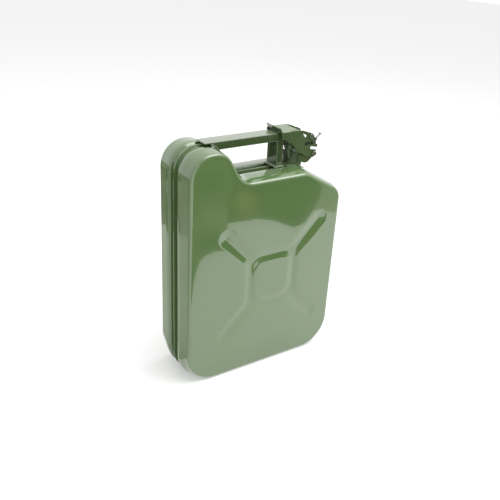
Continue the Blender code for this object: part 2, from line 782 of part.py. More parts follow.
def make_lever():
    """The clamp lever: a channel with two cheeks, hooks, a slot and a turned-up tab."""
    inner_half = lever_inner_width / 2
    outer_half = inner_half + lever_sheet
    outline = lever_outline()
    lever = add_part("clamp_lever", plate(outline, -outer_half, outer_half), DARK_GREEN,
                     roughness=0.3, parent=lever_frame)
    back_x, back_top = from_shares(back_shares)[3]
    web_end = from_shares(back_shares)[2][0]
    left = back_x - overrun
    right = -back_x
    bottom = back_x
    top = back_top - lever_sheet
    inside = [(left, bottom), (right, bottom), (right, back_top + overrun),
              (web_end, back_top + overrun), (web_end, top), (left, top)]
    cut(lever, add_cutter("lever_inside", plate(inside, -inner_half, inner_half), parent=lever_frame))
    step_x = from_shares(belly_shares)[-1][0]
    step = [(step_x, bottom), (right, bottom), (right, back_top + overrun), (step_x, back_top + overrun)]
    for word, side in (("front", -1), ("rear", 1)):
        ends = sorted((side * (outer_half - lever_step), side * (outer_half + overrun)))
        cut(lever, add_cutter("lever_step_" + word, plate(step, *ends), parent=lever_frame))
    reach = outer_half + overrun
    cut(lever, add_cutter("lever_pivot_hole", cross_hole(pin_radius + clearance, reach, (0.0, 0.0)),
                          parent=lever_frame))
    lock = lay_along_y(turned([(0.0, -reach), (lock_pin_radius + clearance, -reach),
                               (lock_pin_radius + clearance, 0.0), (0.0, 0.0)], pin_steps))
    bmesh.ops.translate(lock, verts=lock.verts, vec=(lock_pin_reach, 0.0, -lock_pin_drop))
    cut(lever, add_cutter("lever_lock_hole", lock, parent=lever_frame))
    slot = [(web_end - slot_length - overrun, top - overrun), (web_end - overrun, top - overrun),
            (web_end - overrun, back_top + overrun), (web_end - slot_length - overrun, back_top + overrun)]
    slot_far = slot_width - inner_half
    cut(lever, add_cutter("lever_slot", plate(slot, -inner_half, slot_far), parent=lever_frame))

    angle = math.radians(tab_angle)
    root = Vector((back_x + lever_sheet, back_top - lever_sheet / 2))
    rise = Vector((-math.cos(angle), math.sin(angle)))
    across = Vector((rise.y, -rise.x)) * lever_sheet
    start = root - rise * (lever_sheet * 0.4)
    end = root + rise * tab_length
    tab = [tuple(p) for p in (start, start + across, end + across, end)]
    tab_half = inner_half - lever_sheet / 2
    join_bodies(lever, add_cutter("lever_tab", plate(tab, -tab_half, tab_half), parent=lever_frame))

    length = 2 * outer_half + 2 * (pin_head_height + clearance)
    pin = lay_along_y(turned(cross_pin_profile(pin_radius, length, pin_head_radius, pin_head_height), pin_steps))
    add_part("lever_pin", pin, STEEL, roughness=0.35, metallic=0.9, parent=lever_frame)


def sweep_tube(points, radius, sides):
    """A round bar along a path of points, with flat ends."""
    data = bmesh.new()
    rings = []
    total = len(points)
    for i, point in enumerate(points):
        direction = (points[min(i + 1, total - 1)] - points[max(i - 1, 0)]).normalized()
        side = direction.cross(Vector((0.0, 1.0, 0.0)))
        if side.length < math.sin(math.radians(10.0)):
            side = direction.cross(Vector((1.0, 0.0, 0.0)))
        side.normalize()
        other = direction.cross(side)
        rings.append([data.verts.new(point + (side * math.cos(2 * math.pi * k / sides)
                                              + other * math.sin(2 * math.pi * k / sides)) * radius)
                      for k in range(sides)])
    for first, second in zip(rings, rings[1:]):
        for k in range(sides):
            j = (k + 1) % sides
            data.faces.new((first[k], first[j], second[j], second[k]))
    data.faces.new(rings[0][::-1])
    data.faces.new(rings[-1])
    return data


def make_lock_pin():
    """The short locking pin in the front cheek, with its side arm and knob."""
    outside = lever_inner_width / 2 + lever_sheet + lock_pin_end
    nose = lever_inner_width / 2 - lock_pin_nose
    shaft = [(0.0, -outside - lock_pin_radius), (lock_pin_radius, -outside - lock_pin_radius),
             (lock_pin_radius, -nose), (0.0, -nose)]
    data = lay_along_y(turned(shaft, pin_steps))
    pin = add_part("locking_pin", data, STEEL, roughness=0.3, metallic=0.9, parent=lock_frame)
    angle = math.radians(lock_arm_angle)
    arm = turned([(0.0, 0.0), (lock_pin_radius, 0.0), (lock_pin_radius, lock_arm_length),
                  (0.0, lock_arm_length)], pin_steps)
    matrix = Matrix.Rotation(math.radians(90.0) - angle, 3, 'Y')
    bmesh.ops.rotate(arm, verts=arm.verts, cent=(0.0, 0.0, 0.0), matrix=matrix)
    bmesh.ops.translate(arm, verts=arm.verts, vec=(0.0, -outside, 0.0))
    join_bodies(pin, add_cutter("locking_pin_arm", arm, parent=lock_frame))
    knob = bmesh.new()
    bmesh.ops.create_uvsphere(knob, u_segments=pin_steps, v_segments=pin_steps // 2, radius=lock_knob_radius)
    bmesh.ops.translate(knob, verts=knob.verts, vec=(math.cos(angle) * lock_arm_length, -outside,
                                                     math.sin(angle) * lock_arm_length))
    join_bodies(pin, add_cutter("locking_pin_knob", knob, parent=lock_frame))


def make_handle():
    """The box-section handle: a bar from the hump and a post down to the saddle."""
    half = handle_width / 2
    top = handle_top
    under = top - handle_bar_depth
    foot = saddle_height + 2 * clearance + foot_thickness
    post_right = post_right_x
    handle_tongue_x = handle_side_bottom_x - handle_tongue
    handle_side_top_x = handle_side_bottom_x - handle_side_top
    corners = [
        (handle_tongue_x, hump_height + clearance, 0.0, 1),
        (handle_side_bottom_x, under, 0.0, 1),
        (post_left_x, under, handle_wall, edge_steps),
        (post_left_x, foot, 0.0, 1),
        (post_right, foot, 0.0, 1),
        (post_right, top, handle_outer_radius, edge_steps),
        (handle_tongue_x, top, 0.0, 1),
    ]
    handle = add_part("handle", plate(rounded_outline(corners), -half, half), GREEN, roughness=0.22)
    bevel = handle.modifiers.new("long_edges", 'BEVEL')
    bevel.width = handle_edge_radius
    bevel.segments = 2
    bevel.limit_method = 'ANGLE'
    bevel.angle_limit = math.radians(60.0)
    inner = half - handle_wall
    hollow = [
        (handle_tongue_x - overrun, under + handle_wall),
        (post_left_x + handle_wall, under + handle_wall),
        (post_left_x + handle_wall, foot - overrun),
        (post_right - handle_wall, foot - overrun),
        (post_right - handle_wall, top - handle_wall),
        (handle_tongue_x - overrun, top - handle_wall),
    ]
    cut(handle, add_cutter("handle_hollow", plate(hollow, -inner, inner)))
    end_cut = [
        (handle_tongue_x - overrun, under - overrun),
        (handle_side_bottom_x, under - overrun),
        (handle_side_bottom_x, under),
        (handle_side_top_x, top - handle_wall),
        (handle_tongue_x - overrun, top - handle_wall),
    ]
    cut(handle, add_cutter("handle_end", plate(end_cut, -half - overrun, half + overrun)))
    foot_left = post_left_x + post_thickness / 2 - foot_length / 2
    data = plate([(foot_left, saddle_height + clearance), (foot_left + foot_length, saddle_height + clearance),
                  (foot_left + foot_length, saddle_height + clearance + foot_thickness),
                  (foot_left, saddle_height + clearance + foot_thickness)], -foot_width / 2, foot_width / 2)
    add_part("handle_foot", data, GREEN, roughness=0.22)


def make_breather():
    """The air pipe from the wall of the neck's bore into the top of the hump."""
    reach = neck_outer_radius - neck_wall - clearance - breather_radius
    upper = neck_frame.matrix_world @ Vector((-reach, 0.0, neck_above * 0.4))
    lower = neck_frame.matrix_world @ Vector((-reach, 0.0, -neck_below))
    foot = lower + (lower - upper).normalized() * (breather_bend * 0.4)
    route = [
        upper,
        foot,
        Vector((foot.x - breather_bend, 0.0, breather_low_z)),
        Vector((breather_hump_x, 0.0, breather_low_z)),
        Vector((breather_hump_x, 0.0, breather_top_z)),
    ]
    points = [route[0]]
    for before, corner, after in zip(route, route[1:], route[2:]):
        reach = min((before - corner).length / 2, (after - corner).length / 2, breather_bend)
        first = corner + (before - corner).normalized() * reach
        last = corner + (after - corner).normalized() * reach
        for i in range(corner_steps):
            share = i / (corner_steps - 1)
            points.append(first * (1 - share) ** 2 + corner * 2 * share * (1 - share) + last * share ** 2)
    points.append(route[-1])
    tidy = [points[0]] + [b for a, b in zip(points, points[1:]) if (b - a).length > clearance]
    add_part("breather_pipe", sweep_tube(tidy, breather_radius, pin_steps // 2), STEEL,
             roughness=0.4, metallic=0.8)


clear_scene()

neck_frame = add_frame("neck_frame", (crest_x, 0.0, neck_base_z), neck_tilt)
cap_frame = add_frame("cap_frame", frame_point(-hinge_reach, hinge_rise), 0.0, neck_frame)
lever_frame = add_frame("lever_frame", (hinge_reach + lever_pivot_reach, 0.0, lever_pivot_rise - hinge_rise),
                        -neck_tilt, cap_frame)
lock_frame = add_frame("lock_frame", (lock_pin_reach, 0.0, -lock_pin_drop), 0.0, lever_frame)
catch_frame = add_frame("catch_frame", frame_point(catch_reach, catch_rise), 0.0, neck_frame)
bpy.context.view_layer.update()

make_tank()
make_neck_skirt()
make_neck()
make_hinge_bracket()
make_catch_bracket()
make_cap()
make_lever()
make_lock_pin()
make_handle()
make_breather()
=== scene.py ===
# %% [markdown]
# # A pressed-steel fuel can, dressed for the studio
# This lesson takes a plain CAD model of a five-litre fuel can and gives it the look of the real one.
# The CAD model says where every piece is and how it moves.
# Here we add what CAD leaves out: thick glossy enamel, soft pressed ribs, weld beads and worn steel.
# All lengths are in metres, so a millimetre is 0.001.

import math

import bmesh
import bpy
import numpy as np
from mathutils import Matrix, Vector
from mathutils.geometry import delaunay_2d_cdt


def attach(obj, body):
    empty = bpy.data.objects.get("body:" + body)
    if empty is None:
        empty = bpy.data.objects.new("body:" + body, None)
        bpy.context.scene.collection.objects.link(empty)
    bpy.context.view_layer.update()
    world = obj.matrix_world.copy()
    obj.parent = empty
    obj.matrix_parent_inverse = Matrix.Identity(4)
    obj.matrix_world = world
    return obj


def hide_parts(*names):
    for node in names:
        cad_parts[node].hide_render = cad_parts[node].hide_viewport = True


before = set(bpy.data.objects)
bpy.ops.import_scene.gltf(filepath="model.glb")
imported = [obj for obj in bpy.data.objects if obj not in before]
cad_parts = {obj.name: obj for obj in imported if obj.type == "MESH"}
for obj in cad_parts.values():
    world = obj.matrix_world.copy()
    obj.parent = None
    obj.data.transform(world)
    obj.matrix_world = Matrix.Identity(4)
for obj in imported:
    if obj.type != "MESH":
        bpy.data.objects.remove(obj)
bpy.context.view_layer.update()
MM = 0.001

# %% [markdown]
# ## The camera
# The photograph was taken from the front left, a little above the can, with a normal lens.
# We place the camera by its position, its heading, its tilt and a small roll.
# A tiny lens shift moves the can to its place in the square picture.

# %% Place the camera
CAMERA_PLACE = Vector((-0.4568, -0.6689, 0.5715))
HEADING, TILT, ROLL = math.radians(-33.43), math.radians(26.10), math.radians(2.74)
SENSOR_WIDTH, LENS = 36.0, 45.61
SHIFT_X, SHIFT_Y = 0.0166, -0.0085


def camera_axes(heading, tilt, roll):
    """Right, up and forward directions of a camera that looks down by the tilt."""
    forward = Vector((-math.sin(heading) * math.cos(tilt), math.cos(heading) * math.cos(tilt),
                      -math.sin(tilt)))
    right = Vector((forward.y, -forward.x, 0.0)).normalized()
    up = right.cross(forward)
    turned_right = right * math.cos(roll) + up * math.sin(roll)
    turned_up = up * math.cos(roll) - right * math.sin(roll)
    return turned_right, turned_up, forward


right, up, forward = camera_axes(HEADING, TILT, ROLL)
camera_data = bpy.data.cameras.new("studio_camera")
camera_data.sensor_width = SENSOR_WIDTH
camera_data.lens = LENS
camera_data.shift_x = SHIFT_X
camera_data.shift_y = SHIFT_Y
camera = bpy.data.objects.new("studio_camera", camera_data)
camera.matrix_world = Matrix((
    (right.x, up.x, -forward.x, CAMERA_PLACE.x),
    (right.y, up.y, -forward.y, CAMERA_PLACE.y),
    (right.z, up.z, -forward.z, CAMERA_PLACE.z),
    (0.0, 0.0, 0.0, 1.0)))
scene = bpy.context.scene
scene.collection.objects.link(camera)
scene.camera = camera
print("camera looks along", tuple(round(v, 3) for v in forward))

# %% [markdown]
# ## A helper for shader nodes
# Materials, the floor and the world are all built from nodes.
# One helper adds a node, sets its values and links its inputs, so that each effect reads like a recipe.

# %% Node helpers
scene.view_settings.view_transform = 'Standard'


def rgb(red, green, blue):
    """A colour that lets nothing through."""
    return red, green, blue, 1.0


def node(tree, kind, inputs=None, **settings):
    """Add a shader node; an input takes either a value or another node's output."""
    made = tree.nodes.new("ShaderNode" + kind)
    for key, value in settings.items():
        setattr(made, key, value)
    for key, value in (inputs or {}).items():
        if isinstance(value, bpy.types.NodeSocket):
            tree.links.new(value, made.inputs[key])
        else:
            made.inputs[key].default_value = value
    return made


def mix_colour(tree, share, first, second):
    """Blend two colours by a share and return the blended colour."""
    return node(tree, "Mix", {0: share, 6: first, 7: second}, data_type='RGBA').outputs[2]


def ramp(tree, value, low, high, first=0.0, last=1.0):
    """Stretch a range of values to another range, with its ends held."""
    return node(tree, "MapRange", {"Value": value, "From Min": low, "From Max": high,
                                   "To Min": first, "To Max": last}).outputs["Result"]


def maths(tree, operation, *values):
    """One step of arithmetic on values or outputs."""
    return node(tree, "Math", dict(enumerate(values)), operation=operation).outputs["Value"]


print("view transform:", scene.view_settings.view_transform)

# %% [markdown]
# ## The floor of the studio
# The can stands on plain white board, which is matt, so that it shows no mirror image of the can.
# A white floor that is only lit looks grey against a white sky.
# So the eye and the paint see it a little brighter than the light makes it, and the shadow still shows.

# %% Matt materials and the floor
MATT_ROUGHNESS = 0.9
FLOOR_WHITE = 0.92
SEEN_WHITE = 0.30
FLOOR_HALF = 6.0


def stage_mesh(name, points, material):
    """A flat piece of the studio, given by its corners."""
    mesh = bpy.data.meshes.new(name)
    mesh.from_pydata(points, [], [tuple(range(len(points)))])
    mesh.materials.append(material)
    piece = bpy.data.objects.new(name, mesh)
    scene.collection.objects.link(piece)
    return piece


def matt_material(name):
    """A material without shine; returns it with its node tree and the inputs of its shader."""
    material = bpy.data.materials.new(name)
    material.use_nodes = True
    inputs = material.node_tree.nodes["Principled BSDF"].inputs
    inputs["Roughness"].default_value = MATT_ROUGHNESS
    inputs["Specular IOR Level"].default_value = 0.0
    return material, material.node_tree, inputs


def floor_material():
    """Matt white; the eye and reflections see it a little brighter, so it meets the white sky."""
    material, tree, inputs = matt_material("white_floor")
    inputs["Base Color"].default_value = rgb(FLOOR_WHITE, FLOOR_WHITE, FLOOR_WHITE)
    inputs["Emission Color"].default_value = rgb(1.0, 1.0, 1.0)
    path = node(tree, "LightPath")
    seen = maths(tree, 'MAXIMUM', path.outputs["Is Camera Ray"], path.outputs["Is Glossy Ray"])
    seen = maths(tree, 'MAXIMUM', seen, path.outputs["Is Transmission Ray"])
    tree.links.new(maths(tree, 'MULTIPLY', seen, SEEN_WHITE), inputs["Emission Strength"])
    return material


stage_mesh("studio_floor", [(-FLOOR_HALF, -FLOOR_HALF, 0.0), (FLOOR_HALF, -FLOOR_HALF, 0.0),
                            (FLOOR_HALF, FLOOR_HALF, 0.0), (-FLOOR_HALF, FLOOR_HALF, 0.0)], floor_material())
print("floor is", 2 * FLOOR_HALF, "m wide")

# %% [markdown]
# ## What the paint mirrors
# Glossy paint shows what stands round it, so a glossy can is lit by its surroundings.
# The upper part of the can is deep green with crisp edges, because it mirrors darker things out of view.
# Flat cloths on the floor give these tones, and each edge of a cloth draws one edge on the panel.
# Only reflections see the cloths, so the floor stays white and no light is lost.

# %% Cloth materials
CLOUD_SCALE = 5.0
SPOT_CORE = 0.25


def cloth_material(name, deep, pale):
    """Cloth with slow changes of tone."""
    material, tree, inputs = matt_material(name)
    place = node(tree, "TexCoord")
    cloud = node(tree, "TexNoise", {"Vector": place.outputs["Object"], "Scale": CLOUD_SCALE, "Detail": 1.0})
    tone = ramp(tree, cloud.outputs["Fac"], 0.40, 0.72)
    tree.links.new(mix_colour(tree, tone, deep, pale), inputs["Base Color"])
    return material


def spot_material(name, centre_colour, rim_colour):
    """A soft round spot: one colour at the middle of the piece and another at its rim."""
    material, tree, inputs = matt_material(name)
    place = node(tree, "TexCoord").outputs["Object"]
    away = node(tree, "VectorMath", {0: place}, operation='LENGTH').outputs["Value"]
    share = ramp(tree, away, SPOT_CORE, 1.0)
    tree.links.new(mix_colour(tree, share, centre_colour, rim_colour), inputs["Base Color"])
    return material


def only_reflected(piece):
    """Hide a studio piece from everything but reflections."""
    piece.visible_camera = False
    piece.visible_diffuse = False
    piece.visible_shadow = False
    piece.visible_transmission = False


cloths = {name: cloth_material(name + "_cloth", rgb(*deep), rgb(*pale)) for name, deep, pale in (
    ("dark", (0.02, 0.03, 0.015), (0.07, 0.09, 0.04)),
    ("green", (0.08, 0.10, 0.05), (0.30, 0.34, 0.20)),
    ("grey", (0.17, 0.19, 0.13), (0.30, 0.32, 0.24)),
    ("middle", (0.40, 0.44, 0.33), (0.54, 0.57, 0.46)),
    ("pale", (0.62, 0.66, 0.56), (0.72, 0.75, 0.67)))}
print("cloth tones:", list(cloths))

# %% Lay out the cloths
CLOTH_HEIGHT = 0.8 * MM
LEFT_RIM = [(0.42, -1.3), (0.30, -0.90), (0.215, -0.70), (0.13, -0.55), (0.055, -0.42), (-0.005, -0.33),
            (-0.048, -0.248), (-0.024, -0.240), (0.008, -0.272), (0.043, -0.320), (0.080, -0.358)]
MIDDLE_RIM = [(0.137, -0.405), (0.160, -0.435), (0.173, -0.453), (0.200, -0.461), (0.219, -0.491),
              (0.245, -0.485), (0.282, -0.480), (0.315, -0.456), (0.340, -0.413), (0.379, -0.424)]
RIGHT_RIM = [(0.439, -0.470), (0.487, -0.515), (0.546, -0.577), (0.78, -0.83), (1.5, -1.4)]
LAYOUT = {
    "front_cloth": ("dark", 1.0, [(0.70, -2.4)] + LEFT_RIM + MIDDLE_RIM + RIGHT_RIM
                    + [(2.4, -2.0), (2.4, -2.4)]),
    "left_cloth": ("grey", 1.0, [(-0.352, 0.410), (-0.322, 0.440), (-0.10, 0.66), (-0.10, 2.2), (-0.60, 2.2),
                                 (-0.42, 0.60)]),
    "pale_cloth": ("pale", 1.0, [(-2.2, -0.9), (-2.2, -2.2), (-0.9, -2.2), (-0.30, -0.10), (-0.14, 0.02),
                                 (-0.10, 0.66), (-0.322, 0.440), (-0.352, 0.410), (-0.75, 0.05)]),
    "far_left_cloth": ("middle", 1.0, [(-2.2, -0.9), (-0.75, 0.05), (-0.352, 0.410), (-0.42, 0.60),
                                       (-0.60, 2.2), (-2.2, 2.2)]),
    "right_cloth": ("middle", 1.0, RIGHT_RIM + [(1.5, -0.5), (0.62, -0.40), (0.47, -0.435)]),
    "post_cloth": ("dark", 1.5, [(-0.455, 0.728), (-0.511, 0.686), (-0.72, 0.93), (-0.64, 1.00)]),
    "green_cloth": ("green", 1.5, [(0.120, -0.384), (0.148, -0.380), (0.242, -0.530), (0.342, -0.689),
                                   (0.47, -0.90), (0.90, -1.60), (0.60, -2.2)] + LEFT_RIM)}
for name, (tone, layer, edge) in LAYOUT.items():
    only_reflected(stage_mesh(name, [(x, y, layer * CLOTH_HEIGHT) for x, y in edge], cloths[tone]))

SPOT_STEPS = 24
ring = [(math.cos(2 * math.pi * k / SPOT_STEPS), math.sin(2 * math.pi * k / SPOT_STEPS), 0.0)
        for k in range(SPOT_STEPS)]
olive = spot_material("brown_spot", rgb(0.34, 0.27, 0.08), rgb(0.03, 0.04, 0.02))
spot = stage_mesh("brown_spot", ring, olive)
spot.location = (0.310, -0.570, 2.0 * CLOTH_HEIGHT)
spot.scale = (0.042, 0.105, 1.0)
spot.rotation_euler.z = 0.55
only_reflected(spot)

SCREEN_START, SCREEN_END, SCREEN_HEIGHT = (0.60, -2.4), (2.4, -2.4), 0.30
only_reflected(stage_mesh("front_screen", [(*SCREEN_START, 0.0), (*SCREEN_END, 0.0),
                                           (*SCREEN_END, SCREEN_HEIGHT), (*SCREEN_START, SCREEN_HEIGHT)],
                          cloths["dark"]))
print("cloths on the floor:", len(LAYOUT))

# %% [markdown]
# ## Lamp and sky
# A large soft lamp overhead models the can and draws the bright lines on its rounded edges.
# Its size matters more than its power: a small lamp would give hard shadows and small hot spots.
# The sky fills in the rest. It is plain white to the eye, and somewhat weaker as a source of light.

# %% Hang the lamp and set the sky
SOFTBOX_PLACE, SOFTBOX_TARGET = Vector((0.45, -0.38, 1.45)), Vector((0.0, 0.0, 0.2))
SOFTBOX_SIZE, SOFTBOX_POWER = 1.3, 20.0
SKY_LIGHT = 0.64

softbox_data = bpy.data.lights.new("overhead_softbox", 'AREA')
softbox_data.size = SOFTBOX_SIZE
softbox_data.energy = SOFTBOX_POWER
softbox = bpy.data.objects.new("overhead_softbox", softbox_data)
softbox.location = SOFTBOX_PLACE
softbox.rotation_euler = (SOFTBOX_TARGET - SOFTBOX_PLACE).to_track_quat('-Z', 'Y').to_euler()
scene.collection.objects.link(softbox)

world = bpy.data.worlds.new("pale_studio")
scene.world = world
world.use_nodes = True
tree = world.node_tree
plain = maths(tree, 'SUBTRACT', 1.0, node(tree, "LightPath").outputs["Is Diffuse Ray"])
sky = mix_colour(tree, plain, rgb(SKY_LIGHT, SKY_LIGHT, SKY_LIGHT), rgb(1.0, 1.0, 1.0))
tree.links.new(sky, tree.nodes["Background"].inputs["Color"])

# %% [markdown]
# ## Enamel
# The can is sprayed with a thick glossy enamel. Such a coat is smooth but never perfect:
# it has a faint orange peel, slow changes of tone, and a little dust where it faces up.
# Several materials share these effects, so the effect is a node group with its own inputs.
# A group is mended in one place, where copied nodes would have to be mended in each material.


# %% The enamel group
def new_group(name, inputs, outputs):
    """A shader node group with named sockets; returns its tree, its input node and its output node."""
    group = bpy.data.node_groups.new(name, 'ShaderNodeTree')
    for label, value in inputs.items():
        kind = 'NodeSocketColor' if isinstance(value, tuple) else 'NodeSocketFloat'
        group.interface.new_socket(name=label, in_out='INPUT', socket_type=kind).default_value = value
    for label, kind in outputs.items():
        group.interface.new_socket(name=label, in_out='OUTPUT', socket_type="NodeSocket" + kind)
    return group, group.nodes.new('NodeGroupInput').outputs, group.nodes.new('NodeGroupOutput').inputs


def noise(tree, scale, detail=2.0, roughness=0.5):
    """A noise pattern fixed to the piece."""
    place = node(tree, "TexCoord")
    return node(tree, "TexNoise", {"Vector": place.outputs["Object"], "Scale": scale, "Detail": detail,
                                   "Roughness": roughness}).outputs["Fac"]


DUST_COLOUR = rgb(0.36, 0.44, 0.28)
enamel_group, taken, given = new_group(
    "enamel_coat", {"Colour": rgb(0.1, 0.17, 0.07), "Deep Colour": rgb(0.07, 0.12, 0.05), "Peel": 0.25,
                    "Roughness": 0.12, "Dust": 0.15},
    {"Colour": "Color", "Roughness": "Float", "Height": "Float"})
tree = enamel_group
fine = noise(tree, 620.0)
tone = ramp(tree, noise(tree, 14.0, 3.0), 0.35, 0.70, 0.0, 0.6)
paint = mix_colour(tree, tone, taken["Colour"], taken["Deep Colour"])
upward = node(tree, "SeparateXYZ", {"Vector": node(tree, "NewGeometry").outputs["Normal"]}).outputs["Z"]
dust = maths(tree, 'MULTIPLY', ramp(tree, upward, 0.55, 1.0), ramp(tree, fine, 0.35, 0.65, 0.6, 1.0))
dust = maths(tree, 'MULTIPLY', dust, taken["Dust"])
tree.links.new(mix_colour(tree, dust, paint, DUST_COLOUR), given["Colour"])
tree.links.new(maths(tree, 'MULTIPLY_ADD', dust, 0.5, taken["Roughness"]), given["Roughness"])
ripple = maths(tree, 'MULTIPLY_ADD', noise(tree, 90.0, 1.0, 0.4), 4.0, fine)
tree.links.new(maths(tree, 'MULTIPLY', ripple, taken["Peel"]), given["Height"])
print("group", enamel_group.name, "has", len(tree.nodes), "nodes")

# %% [markdown]
# ## Plated steel
# The pins are zinc-plated steel. New plating is bright, and it tarnishes in patches.
# A noise pattern chooses the patches, which are darker and rougher than the rest.

# %% The plated steel group
steel_group, taken, given = new_group(
    "bare_steel", {"Colour": rgb(0.55, 0.55, 0.52), "Tarnish": rgb(0.16, 0.15, 0.12), "Stain": 0.5,
                   "Roughness": 0.25},
    {"Colour": "Color", "Roughness": "Float", "Height": "Float"})
tree = steel_group
stain = maths(tree, 'MULTIPLY', ramp(tree, noise(tree, 160.0, 4.0, 0.6), 0.42, 0.68), taken["Stain"])
tree.links.new(mix_colour(tree, stain, taken["Colour"], taken["Tarnish"]), given["Colour"])
tree.links.new(maths(tree, 'MULTIPLY_ADD', stain, 0.3, taken["Roughness"]), given["Roughness"])
tree.links.new(noise(tree, 1500.0), given["Height"])
print("group", steel_group.name, "has", len(tree.nodes), "nodes")

# %% [markdown]
# ## Edge wear
# Where hands and tools rub, the paint thins at the edges and bare steel shows through.
# The pointiness of the mesh finds the edges, and a noise pattern breaks them up, because wear is never even.

# %% The edge wear group
wear_group, taken, given = new_group(
    "edge_wear", {"Amount": 0.5, "Start": 0.56, "End": 0.64}, {"Mask": "Float"})
tree = wear_group
edge = node(tree, "NewGeometry").outputs["Pointiness"]
ridge = node(tree, "MapRange", {"Value": edge, "From Min": taken["Start"],
                                "From Max": taken["End"]}).outputs["Result"]
patches = ramp(tree, noise(tree, 240.0, 5.0, 0.7), 0.46, 0.60)
mask = maths(tree, 'MULTIPLY', maths(tree, 'MULTIPLY', ridge, patches), taken["Amount"])
tree.links.new(mask, given["Mask"])
print("group", wear_group.name, "has", len(tree.nodes), "nodes")

# %% [markdown]
# ## Seven finishes
# The body has the thickest gloss. The handle and the closure were sprayed darker and hold more dust.
# The neck is duller, because fuel and hands have dulled it.
# Each finish is one group with its own values, a layer of wear and a fine bump.
# A clear coat over the paint gives the sharp reflections that the paint's own shine can't.

# %% Materials made from the groups
WORN_COLOUR = rgb(0.36, 0.35, 0.32)
BUMP_HEIGHT = 0.1 * MM


def coated_material(name, group, values, bump, wear, **shine):
    """A Principled material whose colour, roughness and bump come from one of the groups."""
    material = bpy.data.materials.new(name)
    material.use_nodes = True
    tree = material.node_tree
    inputs = tree.nodes["Principled BSDF"].inputs
    effect = node(tree, "Group", node_tree=group)
    for label, value in values.items():
        effect.inputs[label].default_value = value
    worn = node(tree, "Group", node_tree=wear_group)
    worn.inputs["Amount"].default_value = wear
    mask = worn.outputs["Mask"]
    tree.links.new(mix_colour(tree, mask, effect.outputs["Colour"], WORN_COLOUR), inputs["Base Color"])
    rough = maths(tree, 'MULTIPLY_ADD', mask, 0.25, effect.outputs["Roughness"])
    tree.links.new(rough, inputs["Roughness"])
    relief = node(tree, "Bump", {"Strength": bump, "Distance": BUMP_HEIGHT,
                                 "Height": effect.outputs["Height"]})
    tree.links.new(relief.outputs["Normal"], inputs["Normal"])
    for label, value in shine.items():
        inputs[label.replace("_", " ")].default_value = value
    if "Metallic" not in shine:
        tree.links.new(mask, inputs["Metallic"])
    return material


body_enamel = coated_material(
    "body_enamel", enamel_group,
    {"Colour": rgb(0.108, 0.186, 0.064), "Deep Colour": rgb(0.092, 0.166, 0.054), "Peel": 0.22,
     "Roughness": 0.10, "Dust": 0.06},
    0.22, 0.25, IOR=1.6, Coat_Weight=1.0, Coat_IOR=1.6, Coat_Roughness=0.02)
handle_enamel = coated_material(
    "handle_enamel", enamel_group,
    {"Colour": rgb(0.056, 0.092, 0.033), "Deep Colour": rgb(0.044, 0.074, 0.026), "Peel": 0.35,
     "Roughness": 0.12, "Dust": 0.45},
    0.25, 0.12, IOR=1.6, Coat_Weight=1.0, Coat_IOR=1.6, Coat_Roughness=0.03)
closure_enamel = coated_material(
    "closure_enamel", enamel_group,
    {"Colour": rgb(0.066, 0.110, 0.040), "Deep Colour": rgb(0.022, 0.038, 0.014), "Peel": 0.5,
     "Roughness": 0.22, "Dust": 0.45},
    0.3, 0.3, IOR=1.5, Coat_Weight=0.4, Coat_IOR=1.5, Coat_Roughness=0.06)
neck_enamel = coated_material(
    "neck_enamel", enamel_group,
    {"Colour": rgb(0.062, 0.104, 0.038), "Deep Colour": rgb(0.032, 0.055, 0.020), "Peel": 0.5,
     "Roughness": 0.42, "Dust": 0.20},
    0.3, 0.2, IOR=1.45)
pin_steel = coated_material(
    "pin_steel", steel_group,
    {"Colour": rgb(0.30, 0.30, 0.27), "Tarnish": rgb(0.07, 0.075, 0.05), "Stain": 0.7, "Roughness": 0.25},
    0.3, 0.4, Metallic=1.0)
bright_steel = coated_material(
    "bright_steel", steel_group,
    {"Colour": rgb(0.42, 0.42, 0.41), "Tarnish": rgb(0.12, 0.12, 0.11), "Stain": 0.5, "Roughness": 0.22},
    0.3, 0.4, Metallic=1.0)
seal_rubber = coated_material(
    "seal_rubber", steel_group,
    {"Colour": rgb(0.025, 0.025, 0.025), "Tarnish": rgb(0.06, 0.06, 0.055), "Stain": 0.4, "Roughness": 0.55},
    0.4, 0.1, Metallic=0.0)
FINISH = {"body": body_enamel, "handle": handle_enamel, "closure": closure_enamel, "neck": neck_enamel,
          "pin": pin_steel, "bright": bright_steel, "rubber": seal_rubber}
print("materials:", sorted(FINISH))


# %% [markdown]
# ## Helpers for meshes
# Each visible piece is made in the same few steps: list its points, join them into faces,
# put the object in the scene, give it a finish, and tell it which body it moves with.

# %% Mesh helpers
def finish_piece(piece, body, material, replaced=(), smooth=50.0):
    """Smooth a piece, give it its material, and tie it to the body it moves with."""
    piece.data.materials.clear()
    piece.data.materials.append(material)
    piece.data.shade_smooth()
    piece.data.set_sharp_from_angle(angle=math.radians(smooth))
    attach(piece, body)
    if replaced:
        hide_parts(*replaced)
    print(piece.name, "has", len(piece.data.vertices), "points")


def piece_from_bmesh(name, data):
    """Turn a bmesh into an object of the scene."""
    mesh = bpy.data.meshes.new(name)
    data.to_mesh(mesh)
    data.free()
    piece = bpy.data.objects.new(name, mesh)
    scene.collection.objects.link(piece)
    return piece


def cut_away(piece, cutter):
    """Cut a piece with a cutter, make its modifiers final and throw the cutter away."""
    hole = piece.modifiers.new("hole", 'BOOLEAN')
    hole.object = cutter
    graph = bpy.context.evaluated_depsgraph_get()
    mesh = bpy.data.meshes.new_from_object(piece.evaluated_get(graph))
    piece.modifiers.clear()
    piece.data = mesh
    bpy.data.objects.remove(cutter)


